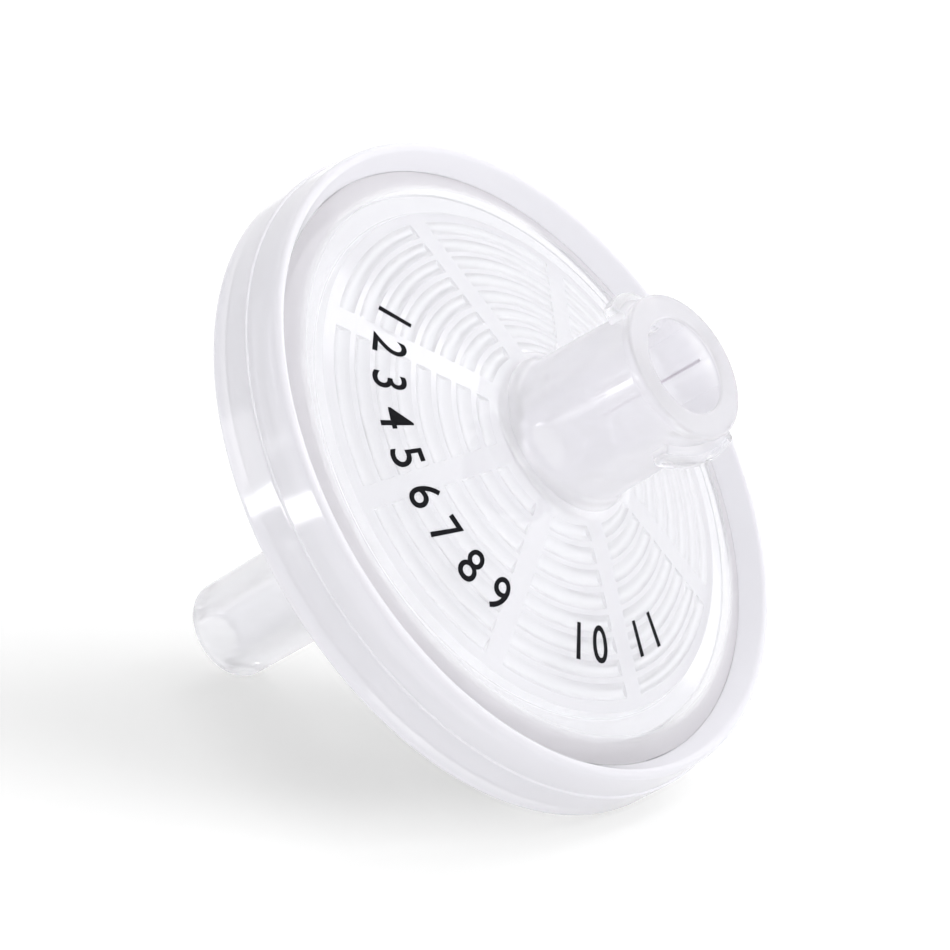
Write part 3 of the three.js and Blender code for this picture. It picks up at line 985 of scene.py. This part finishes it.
bond_of(band, lambda r, z: r < RECESS_RADIUS + 0.01 and FLANGE_BOTTOM - 0.1 < z < FLANGE_TOP + 0.1
        or r < HOOK_RADIUS + 0.01 and 0.02 < z < groove_z(HOOK_RADIUS))
laid(band, band_plastic, "band_plastic", "moulded_band")

# %% [markdown]
# ## The two discs
#
# A felt disc lies over the membrane in the pocket between the halves. Each is a plain round sheet,
# punched from a roll. A cylinder would do, but its sharp rim catches no light, so each is turned
# with a slightly softened one. A pinhole far too small to see keeps the outline off the axis,
# where a ring would have no width.

# %% Discs
RIM_ROUND = 0.04
PINHOLE = 0.001


def disc(name, bottom, top, material, slot, node):
    """A round sheet from bottom to top, laid down in place of its node."""
    outline = [
        (PINHOLE, top),
        *arc(DISC_RADIUS - RIM_ROUND, top - RIM_ROUND, RIM_ROUND, 90, 0, 3),
        *arc(DISC_RADIUS - RIM_ROUND, bottom + RIM_ROUND, RIM_ROUND, 0, -90, 3),
        (PINHOLE, bottom),
    ]
    laid(turned(name, outline), material, slot, node)


disc("prefilter", PREFILTER_BOTTOM, PREFILTER_TOP, glass_fibre, "glass_fibre", "prefilter_disc")
disc("membrane", MEMBRANE_BOTTOM, MEMBRANE_TOP, membrane_film, "membrane", "membrane_disc")

# %% [markdown]
# ## The printed numbers
#
# Two rows are pad printed on the face in black ink. They are plain numbers here, one sign at a
# time, so each can be bent round the axis. A texture would do it in a picture, but a thin film of
# real letters keeps its edge at any distance. A text is made a mesh first. Then its foot is put on
# a circle, and each point gets the height of the cone under it.

# %% Black pad ink
# Pad ink is a thin, matt film. Faint specks, drawn coarser than real ones, keep it from being one
# flat black.
SPECK = 0.15 * MM
tree, ink = new_material("black_pad_ink")
place = add(tree, "ShaderNodeTexCoord").outputs["Object"]
specks = add(tree, "ShaderNodeTexNoise", {"Vector": place, "Scale": 1 / SPECK, "Detail": 3.0})
tone = add(tree, "ShaderNodeMix", {0: specks.outputs["Fac"], 6: colour("#0A0A0C"), 7: colour("#1A1A20")},
           data_type="RGBA")
black = add(tree, "ShaderNodeBsdfPrincipled", {"Base Color": tone.outputs[2], "Roughness": 0.7,
                                              "Specular IOR Level": 0.1})
add(tree, "ShaderNodeOutputMaterial", {"Surface": black.outputs[0]})
print("ink:", ink.name)

# %% Print the numbers
INK_LIFT = 0.005
INK_FILM = 0.02
NUMBER_SIZE = 2.2
NUMBER_WEIGHT = 0.01
NUMBER_FOOT = 9.72


def printed(name, words, start, pitch):
    """Numbers on the cone face, tops to the middle, one every so many degrees from the start."""
    rows = []
    for i, sign in enumerate(words):
        if sign == " ":
            continue
        curve = bpy.data.curves.new(name, "FONT")
        curve.body = sign
        curve.size = NUMBER_SIZE
        curve.offset = NUMBER_WEIGHT
        curve.extrude = INK_FILM / 2
        curve.resolution_u = 5
        made = baked(placed(name, curve))
        across_it = [v.co.x for v in made.data.vertices]
        middle = (min(across_it) + max(across_it)) / 2
        height = max(v.co.y for v in made.data.vertices)
        turn = math.radians(start + pitch * (i + 0.5))
        for v in made.data.vertices:
            r = NUMBER_FOOT - v.co.y
            angle = turn + (v.co.x - middle) / NUMBER_FOOT
            v.co = (r * math.cos(angle), r * math.sin(angle), face_z(r) + INK_LIFT + INK_FILM / 2 + v.co.z)
        rows.append(made)
        print(sign, "width", round(max(across_it) - min(across_it), 2), "height", round(height, 2))
    mesh = bmesh.new()
    for row in rows:
        mesh.from_mesh(row.data)
        bpy.data.objects.remove(row)
    data = bpy.data.meshes.new(name)
    mesh.to_mesh(data)
    laid(placed(name, data), ink, "printed_numbers")


printed("long_row", "123456789", start=-148.0, pitch=11.1)
printed("short_row", "10 11", start=-28.0, pitch=8.6)

# %% [markdown]
# ## The table
#
# The filter lies on a plain white table that runs out of the picture. The table is matt and keeps
# the shadow. To the camera, to mirrored rays and to rays through the plastic it also glows a
# little, so that it turns plain white away from the shadow without more light on the object.

# %% The white table
TABLE_HALF = 1.5
TABLE_WHITE = 0.96
TABLE_GLOW = 0.07


def seen_rays(tree):
    """1 for a camera, a mirrored or a refracted ray, and 0 for the rest."""
    rays = add(tree, "ShaderNodeLightPath").outputs
    camera_ray, mirrored = rays["Is Camera Ray"], rays["Is Glossy Ray"]
    refracted = rays["Is Transmission Ray"]
    seen = add(tree, "ShaderNodeMath", {0: camera_ray, 1: mirrored}, operation="MAXIMUM")
    seen = add(tree, "ShaderNodeMath", {0: seen.outputs[0], 1: refracted}, operation="MAXIMUM")
    return rays, seen.outputs[0]


corners = [(x * TABLE_HALF, y * TABLE_HALF, 0) for x, y in ((-1, -1), (1, -1), (1, 1), (-1, 1))]
table_mesh = bpy.data.meshes.new("table")
table_mesh.from_pydata(corners, [], [(0, 1, 2, 3)])
table = placed("table", table_mesh)
tree, table_white = new_material("white_laminate")
rays, seen = seen_rays(tree)
matt = add(tree, "ShaderNodeBsdfDiffuse", {"Color": (TABLE_WHITE, TABLE_WHITE, TABLE_WHITE, 1)})
glow = add(tree, "ShaderNodeEmission", {"Strength": TABLE_GLOW})
lit = add(tree, "ShaderNodeAddShader", {0: matt.outputs[0], 1: glow.outputs[0]})
mix = add(tree, "ShaderNodeMixShader", {0: seen, 1: matt.outputs[0], 2: lit.outputs[0]})
add(tree, "ShaderNodeOutputMaterial", {"Surface": mix.outputs[0]})
table_mesh.materials.append(table_white)
print("table:", 2 * TABLE_HALF, "m square")

# %% [markdown]
# ## The room
#
# A white room lights the filter from all sides. A glossy, clear object shows its room, so the room
# is plain white to the camera and to mirrored and refracted rays, and a little dimmer as a light.
# A large soft panel, high on the right, gives the face its light side. It is part of the world,
# where a smooth step about one direction draws it with soft edges.

# %% The white room and its panel
ROOM_LIGHT = 0.76
PANEL_LIGHT = 2.1
PANEL_MIRRORED = 0.35
PANEL_TURN, PANEL_RISE = 118, 38
PANEL_EDGE, PANEL_CORE = math.radians(32), math.radians(8)

world = bpy.data.worlds.new("studio")
bpy.context.scene.world = world
world.use_nodes = True
tree = world.node_tree
tree.nodes.clear()
rays, seen = seen_rays(tree)
facing = add(tree, "ShaderNodeTexCoord").outputs["Generated"]
nearness = add(tree, "ShaderNodeVectorMath", {0: facing, 1: direction(PANEL_TURN, PANEL_RISE)},
               operation="DOT_PRODUCT").outputs["Value"]
panel = add(tree, "ShaderNodeMapRange", {
    "Value": nearness, "From Min": math.cos(PANEL_EDGE), "From Max": math.cos(PANEL_CORE),
    "To Min": 0.0, "To Max": PANEL_LIGHT}, interpolation_type="SMOOTHSTEP")
shown = add(tree, "ShaderNodeMapRange", {
    "Value": rays["Is Glossy Ray"], "To Min": 1.0, "To Max": PANEL_MIRRORED})
shown = add(tree, "ShaderNodeMath", {0: panel.outputs[0], 1: shown.outputs[0]}, operation="MULTIPLY")
plain = add(tree, "ShaderNodeMix", {0: seen, 2: ROOM_LIGHT, 3: 1.0}, data_type="FLOAT")
lit = add(tree, "ShaderNodeMath", {0: plain.outputs[0], 1: shown.outputs[0]}, operation="ADD")
strength = add(tree, "ShaderNodeMix", {
    0: rays["Is Camera Ray"], 2: lit.outputs[0], 3: 1.0}, data_type="FLOAT")
sky = add(tree, "ShaderNodeBackground", {"Color": (1, 1, 1, 1), "Strength": strength.outputs[0]})
add(tree, "ShaderNodeOutputWorld", {"Surface": sky.outputs[0]})
print("room light:", ROOM_LIGHT, "panel:", PANEL_LIGHT)

# %% [markdown]
# ## The lamps
#
# Two soft lamps behind the filter throw its pale shadow forwards, one to each side. They are
# hidden from mirrored rays, so that they leave no bright squares on the plastic. Two small strips
# do the opposite: they give no plain light, only one bright line along the barrel and one across
# the band.

# %% Lamps
def aimed(lamp, spot, way):
    """Puts a lamp at a spot, facing one way."""
    lamp.matrix_world = Matrix.Translation(spot) @ way.to_track_quat("-Z", "Y").to_matrix().to_4x4()


def softbox(name, turn, rise, distance, width, height, power):
    """A soft lamp aimed at the object, from a compass direction and a height in degrees."""
    way = direction(turn, rise)
    lamp = bpy.data.lights.new(name, "AREA")
    lamp.shape = "RECTANGLE"
    lamp.size = width
    lamp.size_y = height
    lamp.energy = power
    made = placed(name, lamp)
    made.visible_camera = False
    aimed(made, aim + way * distance, -way)
    return made


for name, turn, rise, power in (("key", 152, 48, 0.3), ("rear", 208, 35, 0.65)):
    box = softbox(name, turn, rise, distance=0.6, width=0.14, height=0.14, power=power)
    box.visible_glossy = False


def strip(name, spot, target, width, height, power):
    """A small lamp for one bright line, from a spot to a target in millimetres."""
    made = softbox(name, turn=0, rise=0, distance=0.1, width=width, height=height, power=power)
    way = (Vector(target) - Vector(spot)).normalized()
    aimed(made, Vector(spot) * MM, way)
    made.visible_diffuse = False


strip("barrel_glint", (-28.9, -61, 6), (8, -3, 18), width=0.024, height=0.006, power=0.0054)
strip("band_glint", (-52, -47, 6), (-8, -6, 6), width=0.034, height=0.034, power=0.007)

# %% [markdown]
# ## Bounces and colours
#
# Light crosses many clear walls before it reaches the camera: face, ridges, discs and back again.
# With too few bounces these paths end dark. Light gathered by the curved plastic into bright lines
# (caustics) isn't traced: it is slow and leaves specks. The view stays Standard, so a colour
# renders as it is written.

# %% Bounces and view
BOUNCES = 8
scene = bpy.context.scene
scene.cycles.max_bounces = BOUNCES
scene.cycles.transmission_bounces = BOUNCES
scene.cycles.glossy_bounces = BOUNCES // 2
scene.cycles.diffuse_bounces = BOUNCES // 2
scene.cycles.caustics_reflective = False
scene.cycles.caustics_refractive = False
scene.view_settings.view_transform = "Standard"
print("bounces:", BOUNCES)
